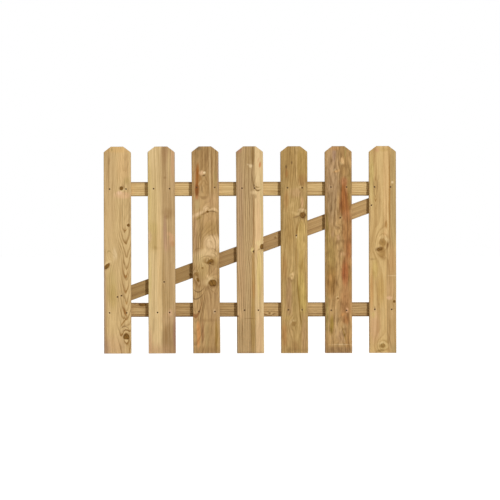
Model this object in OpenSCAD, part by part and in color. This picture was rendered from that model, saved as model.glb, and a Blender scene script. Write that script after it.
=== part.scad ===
// Picket garden gate leaf, 992 mm wide and 702 mm high, in millimetres.
// Seven dog-eared pales are nailed to the front of two rails, and a diagonal
// brace fits between the rails.
// X runs across the gate, with the hinge side at -X. -Y is the front, and +Z is up.
// The origin is the bottom centre of the whole leaf.

/* [Pales] */
// Width of one pale
pale_w = 92; // [70:1:110]
// Thickness of one pale
pale_t = 18; // [14:1:24]
// Height of one pale, which is the height of the leaf
pale_h = 702; // [650:1:900]
// Distance from one pale's centreline to the next
pale_pitch = 150; // [125:1:170]
// How far in each dog-ear cut starts on the top edge
ear_w = 25; // [10:1:30]
// How far down each dog-ear cut ends on the side
ear_h = 19; // [8:1:30]
// Radius of the planed arrises along a pale
pale_round = 2.5; // [1:0.5:4]

/* [Rails] */
// Height of a rail, seen from the front
rail_w = 48; // [38:1:60]
// Depth of a rail, from front to back
rail_t = 28; // [26:1:40]
// Height of the bottom rail's centreline
bottom_rail_z = 147; // [110:1:180]
// Height of the top rail's centreline
top_rail_z = 559; // [520:1:600]
// How far each rail stops short of the outer pale's edge
rail_inset = 2; // [0:1:10]
// Radius of the planed arrises along a rail and the brace
rail_round = 3; // [1:0.5:5]

/* [Brace] */
// Width of the brace, square to its length
brace_w = 50; // [38:1:60]
// Rise of the brace towards the latch side, in degrees
brace_angle = 20; // [16:0.5:22]

/* [Nails] */
// Length of a nail, under and with its head
nail_l = 40; // [32:1:42]
// Diameter of the plain shank
nail_d = 2.8; // [2:0.1:3.4]
// Diameter of the head
head_d = 5; // [4:0.1:7]
// Thickness of the head
head_t = 1.2; // [0.8:0.1:2]
// How far the head is driven below the pale's face
nail_set = 0.8; // [0:0.1:2]
// How far every rail nail is moved outwards from its place in the lists below
nail_spread = 0; // [-6:0.5:6]

/* [Hidden] */
pale_count = 7;
// Lean of each pale as it was nailed up, in degrees clockwise seen from the front
lean = [0, -0.2, -0.4, -0.2, -0.1, 0, 0];
// The hand-driven rail nails, a row for each pale: how far the left and the right
// nail lie across from the pale's centreline, and both above the rail's centreline
bottom_nails = [[-27, 31, -9], [-15, 26, -8], [-25, 29, -5], [-20, 27, -1],
                [-21, 26, 0], [-25, 27, -2], [-27, 30, 1]];
top_nails = [[-26, 30, -1], [-26, 28, 0], [-29, 32, 4], [-26, 17, 1],
             [-22, 28, 2], [-25, 28, 4], [-27, 27, 4]];
// The brace nails: which pale each goes through, how far it lies across from that
// pale's centreline, and how far above the brace's centreline
brace_nails = [[1, 0, 3], [1, 13.5, 2.5], [2, 8, -4], [3, 14, 2], [4, 11.5, -12],
               [5, 7, -11], [6, 6, -5], [7, -38, -2]];

leaf_t = pale_t + rail_t;
front_y = -leaf_t / 2;
joint_y = front_y + pale_t;
rail_l = (pale_count - 1) * pale_pitch + pale_w - 2 * rail_inset;
rails_mid_z = (bottom_rail_z + top_rail_z) / 2;
rails_gap = top_rail_z - bottom_rail_z - rail_w;

// The rings of a nail's shank stand this far proud of it
ring_h = 0.15;
ring_pitch = 2;
ring_count = 9;
nail_tip = 4;
hole_d = nail_d + 2 * ring_h;

rail_names = ["bottom", "top"];
rail_zs = [bottom_rail_z, top_rail_z];
rail_nails = [bottom_nails, top_nails];
side_names = ["left", "right"];

function pale_name(i) = str("pale_", i);
function rail_nail_name(i, r, s) = str("nail_pale_", i, "_", rail_names[r], "_", side_names[s]);
function brace_nail_name(k) = str("brace_nail_", k + 1, "_pale_", brace_nails[k][0]);

// The X of pale i's centreline where it stands, and at a height z once it leans
function pale_x(i) = (i - (pale_count + 1) / 2) * pale_pitch;
function leaning_x(i, z) = pale_x(i) + (z - pale_h / 2) * tan(lean[i - 1]);
// A leaning pale is lifted so that its lowest corner still reaches Z 0
function lean_lift(i) = pale_w / 2 * sin(abs(lean[i - 1])) - pale_h / 2 * (1 - cos(lean[i - 1]));

// Where each nail's axis meets the front, as [x, z]
function rail_nail_at(i, r, s) =
  let (n = rail_nails[r][i - 1], z = rail_zs[r] + n[2])
  [leaning_x(i, z) + n[s] + (2 * s - 1) * nail_spread, z];
function brace_z(x) = rails_mid_z + x * tan(brace_angle);
function brace_nail_at(k) =
  let (n = brace_nails[k], x = leaning_x(n[0], brace_z(pale_x(n[0]))) + n[1])
  [x, brace_z(x) + n[2]];

// A planed board's section: a rectangle with its four corners rounded
module board_section(w, t, r) {
  square([w - 2 * r, t], center = true);
  square([w, t - 2 * r], center = true);
  for (x = [-1, 1], y = [-1, 1])
    translate([x * (w / 2 - r), y * (t / 2 - r)])
      circle(r = r, $fn = 48);
}

// A nail standing at the origin, with its head's face at Z 0 and its point down
module nail_shape() {
  shank_r = nail_d / 2;
  ring_r = shank_r + ring_h;
  first_ring = nail_l - nail_tip - ring_count * ring_pitch;
  rings = [for (k = [0:ring_count - 1]) each [
    [shank_r, -first_ring - k * ring_pitch],
    [ring_r, -first_ring - (k + 0.2) * ring_pitch]
  ]];
  profile = concat(
    [[0, 0], [head_d / 2, 0], [head_d / 2, -head_t], [shank_r, -head_t - 0.6]],
    rings,
    [[shank_r, -nail_l + nail_tip], [0, -nail_l]]
  );
  rotate_extrude($fn = 48) polygon(profile);
}

// Turns a shape built point-down to point backwards from the gate's front face
module driven_at(place) {
  translate([place[0], front_y, place[1]]) rotate([90, 0, 0]) children();
}

// What a nail takes out of the boards: its head's seat and a straight hole
module nail_hole() {
  translate([0, 0, -nail_set - head_t]) cylinder(d = head_d, h = nail_set + head_t + 1, $fn = 48);
  translate([0, 0, -nail_set - nail_l]) cylinder(d = hole_d, h = nail_l, $fn = 48);
}

module rail_nail_holes(rails, pales) {
  for (i = pales, r = rails, s = [0:1])
    driven_at(rail_nail_at(i, r, s)) nail_hole();
}

module brace_nail_holes(pales) {
  for (i = pales, k = [0:len(brace_nails) - 1])
    if (brace_nails[k][0] == i)
      driven_at(brace_nail_at(k)) nail_hole();
}

// The front outline of a pale, standing on Z 0 when it is turned upright
module pale_outline() {
  polygon([
    [-pale_w / 2, 0], [pale_w / 2, 0],
    [pale_w / 2, pale_h - ear_h], [pale_w / 2 - ear_w, pale_h],
    [-pale_w / 2 + ear_w, pale_h], [-pale_w / 2, pale_h - ear_h]
  ]);
}

module pale(i) {
  color("burlywood")
    difference() {
      translate([pale_x(i), front_y + pale_t / 2, pale_h / 2 + lean_lift(i)])
        rotate([0, lean[i - 1], 0])
          translate([0, 0, -pale_h / 2])
            intersection() {
              linear_extrude(pale_h) board_section(pale_w, pale_t, pale_round);
              translate([0, pale_t, 0])
                rotate([90, 0, 0]) linear_extrude(2 * pale_t) pale_outline();
            }
      rail_nail_holes([0, 1], [i]);
      brace_nail_holes([i]);
    }
}

module rail(r) {
  color("tan")
    difference() {
      translate([-rail_l / 2, joint_y + rail_t / 2, rail_zs[r]])
        rotate([0, 90, 0])
          linear_extrude(rail_l) board_section(rail_w, rail_t, rail_round);
      rail_nail_holes([r], [1:pale_count]);
    }
}

// The brace is cut to seat on the bottom rail and under the top rail, and its
// ends are cut plumb with the rails' ends
module brace() {
  reach = rail_l;
  color("peru")
    difference() {
      intersection() {
        translate([0, joint_y + rail_t / 2, rails_mid_z])
          rotate([0, 90 - brace_angle, 0])
            translate([0, 0, -reach])
              linear_extrude(2 * reach) board_section(brace_w, rail_t, rail_round);
        translate([0, joint_y + rail_t / 2, rails_mid_z])
          cube([rail_l, 2 * rail_t, rails_gap], center = true);
      }
      brace_nail_holes([1:pale_count]);
    }
}

module nail(place) {
  color("dimgray")
    driven_at(place) translate([0, 0, -nail_set]) nail_shape();
}

for (i = [1:pale_count])
  pale(i);

rail(1);  // top_rail
rail(0);  // bottom_rail
brace();

for (i = [1:pale_count], r = [0:1], s = [0:1])
  nail(rail_nail_at(i, r, s));

for (k = [0:len(brace_nails) - 1])
  nail(brace_nail_at(k));
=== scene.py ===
# %% [markdown]
# # A picket garden gate
# The CAD frame holds the leaf: seven dog-eared pales, two rails, a diagonal brace and
# the nails, each where it belongs. This lesson builds the timber that stands for those
# plain solids. Every board is one closed mesh made in code, with planed faces, worn
# arrises, sawn ends and nail seats, and every board wears a wood that is solid all
# through, so that its faces, edges and ends show one and the same tree.

# %% Load the frame
import math
from dataclasses import dataclass, field

import bmesh
import bpy
import numpy as np
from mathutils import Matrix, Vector


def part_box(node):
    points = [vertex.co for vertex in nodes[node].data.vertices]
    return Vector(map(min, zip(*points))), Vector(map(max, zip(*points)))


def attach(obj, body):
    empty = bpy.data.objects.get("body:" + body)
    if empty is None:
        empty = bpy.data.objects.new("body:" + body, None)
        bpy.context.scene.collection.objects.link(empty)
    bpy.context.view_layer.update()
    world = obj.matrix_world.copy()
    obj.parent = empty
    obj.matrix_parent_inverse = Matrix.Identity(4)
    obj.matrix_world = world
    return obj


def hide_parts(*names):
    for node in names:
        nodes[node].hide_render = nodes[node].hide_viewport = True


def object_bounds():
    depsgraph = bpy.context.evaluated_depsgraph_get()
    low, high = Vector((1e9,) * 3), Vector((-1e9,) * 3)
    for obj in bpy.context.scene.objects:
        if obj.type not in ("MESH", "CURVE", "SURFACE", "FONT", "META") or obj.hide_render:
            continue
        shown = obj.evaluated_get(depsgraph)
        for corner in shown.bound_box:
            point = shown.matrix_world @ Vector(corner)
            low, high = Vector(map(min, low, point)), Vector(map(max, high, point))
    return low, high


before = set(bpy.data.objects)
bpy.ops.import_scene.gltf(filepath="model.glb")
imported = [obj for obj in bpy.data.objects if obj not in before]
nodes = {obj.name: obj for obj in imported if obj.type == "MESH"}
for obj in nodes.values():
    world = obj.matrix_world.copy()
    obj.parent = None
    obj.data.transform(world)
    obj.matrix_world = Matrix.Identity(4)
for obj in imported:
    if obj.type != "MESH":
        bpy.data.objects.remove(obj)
cad_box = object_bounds()
MM = 0.001
print("nodes in the frame:", len(nodes))

# %% [markdown]
# ## A small language for shaders
# A finish is a graph of nodes. Written out link by link it is hard to read, so one
# class wraps a socket and lets it take part in ordinary sums, and one class holds a
# material and adds any other node. The arithmetic below then reads like the idea.


# %% Sockets that can be added and multiplied
class Socket:
    """One output of a shader node, which takes part in ordinary arithmetic."""

    def __init__(self, finish, output):
        self.finish = finish
        self.output = output

    def __add__(self, other):
        return self.finish.math("ADD", self, other)

    def __sub__(self, other):
        return self.finish.math("SUBTRACT", self, other)

    def __rsub__(self, other):
        return self.finish.math("SUBTRACT", other, self)

    def __mul__(self, other):
        return self.finish.math("MULTIPLY", self, other)

    def __truediv__(self, other):
        return self.finish.math("DIVIDE", self, other)

    def __rtruediv__(self, other):
        return self.finish.math("DIVIDE", other, self)

    __radd__ = __add__
    __rmul__ = __mul__


class Finish:
    """The nodes of a material, a lamp or the world, and the ways of adding to them."""

    def __init__(self, owner):
        owner.use_nodes = True
        self.tree = owner.node_tree
        self.tree.nodes.clear()

    def node(self, kind, settings=None, inputs=None, output=0):
        made = self.tree.nodes.new("ShaderNode" + kind)
        for name, value in (settings or {}).items():
            setattr(made, name, value)
        for key, value in (inputs or {}).items():
            if isinstance(value, Socket):
                self.tree.links.new(value.output, made.inputs[key])
            else:
                made.inputs[key].default_value = value
        return Socket(self, made.outputs[output]) if len(made.outputs) else None

    def math(self, operation, *values):
        return self.node("Math", {"operation": operation}, dict(enumerate(values)))

    def vector(self, operation, *values, output=0):
        return self.node("VectorMath", {"operation": operation}, dict(enumerate(values)), output)

    def part(self, place, axis):
        """One coordinate, read with a dot product because that keeps a long shader's stack short."""
        return self.vector("DOT_PRODUCT", place, axis, output="Value")

    def ease(self, value, start, end, most=1.0):
        """0 up to start and most from end on, with a smooth climb between the two."""
        low, high = sorted((start, end))
        ends = {3: 0.0, 4: most} if start < end else {3: most, 4: 0.0}
        settings = {"interpolation_type": "SMOOTHSTEP"}
        return self.node("MapRange", settings, {0: value, 1: low, 2: high, **ends})

    def blend(self, amount, colour, other):
        colour = colour if isinstance(colour, Socket) else (*colour[:3], 1)
        other = other if isinstance(other, Socket) else (*other[:3], 1)
        return self.node("Mix", {"data_type": "RGBA"}, {0: amount, 6: colour, 7: other}, output=2)

    def tint(self, amount, colour, by):
        """Multiplies a colour by another as far as amount says, so what is under it still shows."""
        settings = {"data_type": "RGBA", "blend_type": "MULTIPLY"}
        return self.node("Mix", settings, {0: amount, 6: colour, 7: (*by, 1)}, output=2)

    def grainy(self, place, size, detail=2.0):
        """Soft noise about 0.5, with features of the given size across, deep and along, in mm."""
        stretched = self.vector("MULTIPLY", place, tuple(1 / s for s in size))
        return self.node("TexNoise", inputs={"Vector": stretched, "Scale": 1.0, "Detail": detail})

    def attribute(self, name):
        return self.node("Attribute", {"attribute_name": name}, output="Fac")

    def surface(self, colour, roughness, height, depth, **fixed):
        """Joins the colour, the roughness and a relief in mm to the shader and the output."""
        bump = self.node("Bump", inputs={"Strength": depth, "Distance": MM, "Height": height})
        inputs = {"Base Color": colour, "Roughness": roughness, "Normal": bump}
        shader = self.node("BsdfPrincipled", inputs={**inputs, **fixed})
        self.node("OutputMaterial", inputs={"Surface": shader})


def tone(red, green, blue):
    """A colour as a paint chart gives it, 0 to 255, in the linear values of a shader."""
    return tuple(((c / 255 + 0.055) / 1.055) ** 2.4 for c in (red, green, blue))


print("a mid honey tone is", tuple(round(c, 2) for c in tone(200, 165, 112)))

# %% [markdown]
# ## What makes one board differ from the next
# A softwood board shows where it was sawn from. The pith's place behind the face gives
# straight lines or nested arches, knots push the grain aside, and resin, sap and
# weather stain it in streaks. The long strips along the rails' edges are painted shade.
# Each is one line in a board's description, measured in mm from the board's centreline
# and from its lower or left end, or the brace's middle.


# %% Knots, stains, painted shade and boards
@dataclass
class Knot:
    across: float
    up: float
    size: float  # half its width
    dark: float  # 0 leaves only the grain's swirl, 1 is a black knot
    long: float = 1.0  # its height over its width
    turn: float = 0.0  # degrees clockwise from the front
    swell: float = 1.0  # how many rings it lifts round itself
    reach: float = 1.5  # how far out the grain bends, in its own sizes
    painted_highlight: float = 0.4  # how strong the painted highlight, a pale crescent on one side of it, is
    lit: float = -30.0  # which way the painted highlight faces, with painted shade opposite, in degrees clockwise from up its own height


# A patch of colour: a stain in the wood, except along the rails' edges, where it is a strip of painted
# shade
@dataclass
class StainAndShade:
    across: float
    up: float
    half_width: float
    half_height: float
    colour: tuple
    strength: float  # how much of the wood's own colour it hides, 0 to 1
    soft: float  # how wide its edge is, in its own sizes
    ragged: float = 0.12  # how far that edge is torn
    turn: float = 0.0
    bow: float = 0.0  # how far its ends rise above its middle


@dataclass
class Board:
    name: str
    slot: str
    width: float
    thick: float
    origin: tuple  # on its front centreline, in metres: its lower end, or the brace's middle
    turn: float  # degrees from upright, clockwise from the front
    low: object  # how high its lower end lies at a place across it
    high: object
    early: tuple  # the colours of its early and late wood
    late: tuple
    pith: tuple  # how far across and how deep behind its face the tree's pith lay
    ring: float  # how wide a yearly ring is
    taper: float  # rings gained per mm up the board
    wander: float  # how unevenly the rings lie
    wave: float  # how far the grain sways, in mm
    lines: float  # how clear its yearly rings are
    streaks: float  # how clear the fine lines along the grain are
    knots: list
    stains_and_shade: list
    seed: int
    corners: tuple = ()  # places across it where an end changes direction
    arris: float = 2.5
    fade: tuple = (1000.0, 1100.0)  # heights between which the rings grow faint
    figure: tuple = (0.0, 1000.0)  # the middle and half the width of where they are clear
    mottle: float = 0.1
    nicks: list = field(default_factory=list)  # (across, up, depth) of dents in the front arrises
    span: float = 0.0  # from its lowest corner to its highest, once it is built


print("a Board takes", len(Board.__dataclass_fields__), "facts")

# %% [markdown]
# ## Where the boards are
# The frame says where each board is. A pale's lean comes from the middles of its two
# ends. Only the size of a dog-ear and the brace's width and rise are repeated from the
# design, because the boxes round the boards don't show them.

# %% Measure the boards in the frame
PALES = [f"pale_{i}" for i in range(1, 8)]
EAR_WIDTH = 25  # mm
EAR_HEIGHT = 19
BRACE_WIDTH = 50
BRACE_RISE = 20  # degrees
END_SLICE = 0.004  # metres from an end in which its corners lie


def end_middle(points, height):
    """The middle, across the gate, of the points that lie next to a height."""
    near = points[np.abs(points[:, 2] - height) < END_SLICE]
    return (near[:, 0].min() + near[:, 0].max()) / 2


def pale_facts(name):
    low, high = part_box(name)
    points = np.array([v.co for v in nodes[name].data.vertices])
    foot = end_middle(points, low.z)
    lean = math.atan((end_middle(points, high.z) - foot) / (high.z - low.z))
    slant = abs(math.sin(lean))
    tall = (high.z - low.z) / MM
    width = (high.x - low.x) / MM - (tall - EAR_HEIGHT) * slant
    ear = width / 2 - EAR_WIDTH
    lift = width / 2 * slant
    length = tall - lift - ear * slant

    def top(across):
        return length - max(0, abs(across) - ear) * EAR_HEIGHT / EAR_WIDTH

    return {
        "name": name, "slot": name + "_wood", "width": width, "thick": (high.y - low.y) / MM,
        "origin": (foot, low.y, low.z + lift * MM), "turn": math.degrees(lean),
        "low": lambda across: 0.0, "high": top, "corners": (-ear, ear),
    }


def rail_facts(name):
    low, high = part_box(name)
    length = (high.x - low.x) / MM
    return {
        "name": name, "slot": "rail_wood", "width": (high.z - low.z) / MM,
        "thick": (high.y - low.y) / MM, "origin": (low.x, low.y, (low.z + high.z) / 2),
        "turn": 90.0, "low": lambda across: 0.0, "high": lambda across: length, "arris": 3.0,
    }


def brace_facts(name):
    """The brace's ends are cut level against the rails and plumb with their ends."""
    low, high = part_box(name)
    run = (high.x - low.x) / 2 / MM
    rise = (high.z - low.z) / 2 / MM
    along = math.cos(math.radians(BRACE_RISE))
    up = math.sin(math.radians(BRACE_RISE))

    def reach(across):
        return min((run - across * up) / along, (rise + across * along) / up)

    return {
        "name": name, "slot": "brace_wood", "width": BRACE_WIDTH, "thick": (high.y - low.y) / MM,
        "origin": (0.0, low.y, (low.z + high.z) / 2), "turn": 90.0 - BRACE_RISE,
        "low": lambda across: -reach(-across), "high": reach, "arris": 3.0,
        "corners": tuple(sign * (run * up - rise * along) for sign in (-1, 1)),
    }


print({name: round(pale_facts(name)["turn"], 2) for name in PALES})

# %% [markdown]
# ## The ten boards
# These are the gate's own boards, left to right and then the ones behind. The colours
# run from pale straw sapwood to rust-stained heartwood.

# %% Describe the boards
STRAW = tone(216, 184, 128)
CREAM = tone(230, 202, 156)
HONEY = tone(202, 166, 110)
SAND = tone(200, 170, 124)
OLIVE = tone(168, 142, 84)
MOSS = tone(184, 158, 94)
MAUVE = tone(168, 134, 110)
UMBER = tone(138, 102, 58)
PEAT = tone(100, 70, 38)
RUST = tone(166, 106, 52)
ORANGE = tone(204, 142, 82)
# the pale straw of the painted highlight beside a knot
PAINTED_HIGHLIGHT_STRAW = tone(226, 196, 142)

pale_1 = Board(
    **pale_facts("pale_1"), early=tone(212, 180, 126), late=tone(146, 104, 46),
    pith=(27, 17), ring=5.6, taper=-1 / 41, wander=0.3, wave=3, lines=0.85, fade=(400, 440),
    figure=(27, 21), streaks=0.3, seed=1,
    knots=[
        Knot(15, 560, 6.5, dark=1.0, swell=0.6, painted_highlight=0.7, lit=150),
        Knot(37, 435, 5, dark=0.95, swell=0.8, painted_highlight=0.4, lit=-90),
        Knot(-35, 297, 6.5, long=1.9, turn=40, dark=0.8, swell=0.6, painted_highlight=0.6, lit=-60),
        Knot(30, 57, 10.5, dark=0.8, swell=2.6, reach=1.5, painted_highlight=0.2, lit=190),
    ],
    stains_and_shade=[
        StainAndShade(-28, 560, 23, 170, tone(202, 168, 118), 0.6, 0.3),
        StainAndShade(20, 640, 22, 60, tone(224, 184, 128), 0.6, 0.6),
        StainAndShade(0, 692, 40, 10, tone(222, 178, 112), 0.5, 0.7),
        StainAndShade(20, 537, 28, 11, tone(230, 188, 142), 0.8, 0.5, 0.2),
        StainAndShade(8, 545, 10, 6, tone(236, 196, 156), 0.8, 0.6, 0.3),
        StainAndShade(32, 585, 10, 12, MOSS, 0.45, 0.6, 0.3),
        StainAndShade(-28, 652, 1.8, 14, UMBER, 0.5, 0.5),
        StainAndShade(-18, 692, 2.4, 6, OLIVE, 0.7, 0.5),
        StainAndShade(27, 660, 1.8, 40, UMBER, 0.35, 0.6),
        StainAndShade(24, 560, 1.8, 34, UMBER, 0.5, 0.6),
        StainAndShade(36, 640, 2.0, 40, UMBER, 0.3, 0.6),
        StainAndShade(41, 470, 2.4, 60, UMBER, 0.45, 0.6),
        StainAndShade(17, 478, 1.7, 44, UMBER, 0.5, 0.5),
        StainAndShade(27, 417, 9, 1.8, tone(166, 124, 62), 0.8, 0.5, 0.15, 0, 12),
        StainAndShade(27, 374, 7.5, 2.6, tone(170, 128, 66), 0.7, 0.5, 0.15, 0, 20),
        StainAndShade(-7, 338, 8, 20, CREAM, 0.5, 0.6, 0.3),
        StainAndShade(-26, 325, 9, 16, STRAW, 0.5, 0.6, 0.3),
        StainAndShade(-28, 348, 7, 2.6, OLIVE, 0.6, 0.6, 0.2, 0, -6),
        StainAndShade(-20, 235, 16, 50, MOSS, 0.5, 0.6),
        StainAndShade(-14, 190, 14, 40, tone(180, 150, 82), 0.5, 0.6),
        StainAndShade(-18, 100, 10, 36, STRAW, 0.5, 0.6),
        StainAndShade(-45, 170, 6, 190, MAUVE, 0.55, 0.5),
        StainAndShade(28, 260, 12, 5.5, tone(158, 108, 44), 0.8, 0.5, 0.15, 0, 46),
        StainAndShade(28, 208, 12, 5, tone(160, 112, 48), 0.75, 0.5, 0.15, 0, 44),
        StainAndShade(31, 170, 7, 5, tone(164, 116, 50), 0.7, 0.5, 0.15, 0, 26),
        StainAndShade(25, 140, 3.8, 17, tone(150, 98, 34), 0.85, 0.6, 0.2, -22),
        StainAndShade(21, 107, 2.4, 18, tone(160, 116, 54), 0.8, 0.6, 0.2, 36),
        StainAndShade(25, 92, 15, 1.8, UMBER, 0.6, 0.6, 0.15, 0, -9),
        StainAndShade(27, 80, 14, 1.6, UMBER, 0.5, 0.6, 0.15, 0, -8),
        StainAndShade(16, 26, 9, 30, SAND, 0.5, 0.6),
        StainAndShade(-20, 20, 40, 40, tone(206, 166, 122), 0.5, 0.7),
        StainAndShade(-44, 10, 16, 40, MAUVE, 0.6, 0.7),
    ],
)
pale_2 = Board(
    **pale_facts("pale_2"), early=tone(220, 190, 138), late=tone(178, 144, 90),
    pith=(-150, 40), ring=5.5, taper=0.001, wander=0.5, wave=3, lines=0.6, streaks=0.35, seed=2,
    knots=[Knot(9, 242, 3, dark=0.0, swell=0.6, painted_highlight=0.8)],
    stains_and_shade=[
        StainAndShade(40, 350, 39, 1500, tone(194, 161, 114), 0.95, 0.06, 0.03),
        StainAndShade(-44, 540, 9, 150, tone(208, 184, 110), 0.4, 0.6),
        StainAndShade(-30, 470, 18, 120, tone(202, 174, 110), 0.4, 0.7),
        StainAndShade(13, 690, 12, 50, tone(176, 138, 96), 0.7, 0.6, 0.14, 8),
        StainAndShade(5, 610, 4, 90, tone(174, 140, 92), 0.5, 0.6),
        StainAndShade(26, 640, 2.4, 60, tone(206, 176, 122), 0.6, 0.6),
        StainAndShade(40, 650, 6, 60, tone(206, 160, 120), 0.6, 0.6),
        StainAndShade(13, 596, 5, 4, UMBER, 0.35, 0.6, 0.3),
        StainAndShade(24, 477, 20, 13, tone(170, 134, 88), 0.6, 0.8, 0.3),
        StainAndShade(20, 462, 10, 6, tone(148, 110, 66), 0.5, 0.7, 0.4),
        StainAndShade(12, 405, 6, 56, tone(184, 146, 116), 0.75, 0.6, 0.12),
        StainAndShade(30, 442, 10, 22, tone(200, 168, 120), 0.7, 0.6, 0.25),
        StainAndShade(28, 404, 9, 6, tone(218, 172, 128), 0.7, 0.6, 0.3, 30),
        StainAndShade(34, 388, 8, 14, tone(216, 168, 126), 0.75, 0.6, 0.3, 20),
        StainAndShade(38, 372, 6, 10, tone(198, 142, 96), 0.6, 0.6, 0.3),
        StainAndShade(22, 366, 12, 20, tone(196, 154, 118), 0.5, 0.6, 0.25),
        StainAndShade(-26, 424, 18, 22, tone(196, 168, 100), 0.5, 0.7),
        StainAndShade(-24, 378, 18, 28, tone(190, 158, 94), 0.55, 0.7, 0.2),
        StainAndShade(-40, 396, 6, 16, tone(216, 182, 142), 0.6, 0.7, 0.3),
        StainAndShade(-18, 358, 12, 6, tone(170, 138, 78), 0.45, 0.7, 0.3),
        StainAndShade(-42, 250, 7, 90, tone(206, 184, 112), 0.4, 0.7),
        StainAndShade(-8, 300, 7, 200, tone(226, 190, 134), 0.6, 0.6, 0.1),
        StainAndShade(6, 210, 5, 150, tone(170, 136, 84), 0.6, 0.6),
        StainAndShade(20, 170, 14, 60, tone(182, 150, 96), 0.4, 0.6),
        StainAndShade(26, 120, 24, 22, tone(196, 160, 118), 0.45, 0.7, 0.3),
        StainAndShade(26, 45, 28, 56, UMBER, 0.42, 0.25, 0.06),
        StainAndShade(14, 60, 4, 40, tone(146, 110, 62), 0.5, 0.6, 0.2),
        StainAndShade(46, 70, 8, 60, tone(166, 122, 104), 0.75, 0.6),
        StainAndShade(28, 138, 7, 11, tone(218, 176, 136), 0.75, 0.6, 0.3),
        StainAndShade(-28, 95, 1.4, 26, UMBER, 0.5, 0.6),
        StainAndShade(-42, 30, 10, 50, tone(198, 154, 116), 0.6, 0.7),
        StainAndShade(-20, 4, 60, 26, tone(192, 152, 112), 0.55, 0.7),
    ],
)
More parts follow.
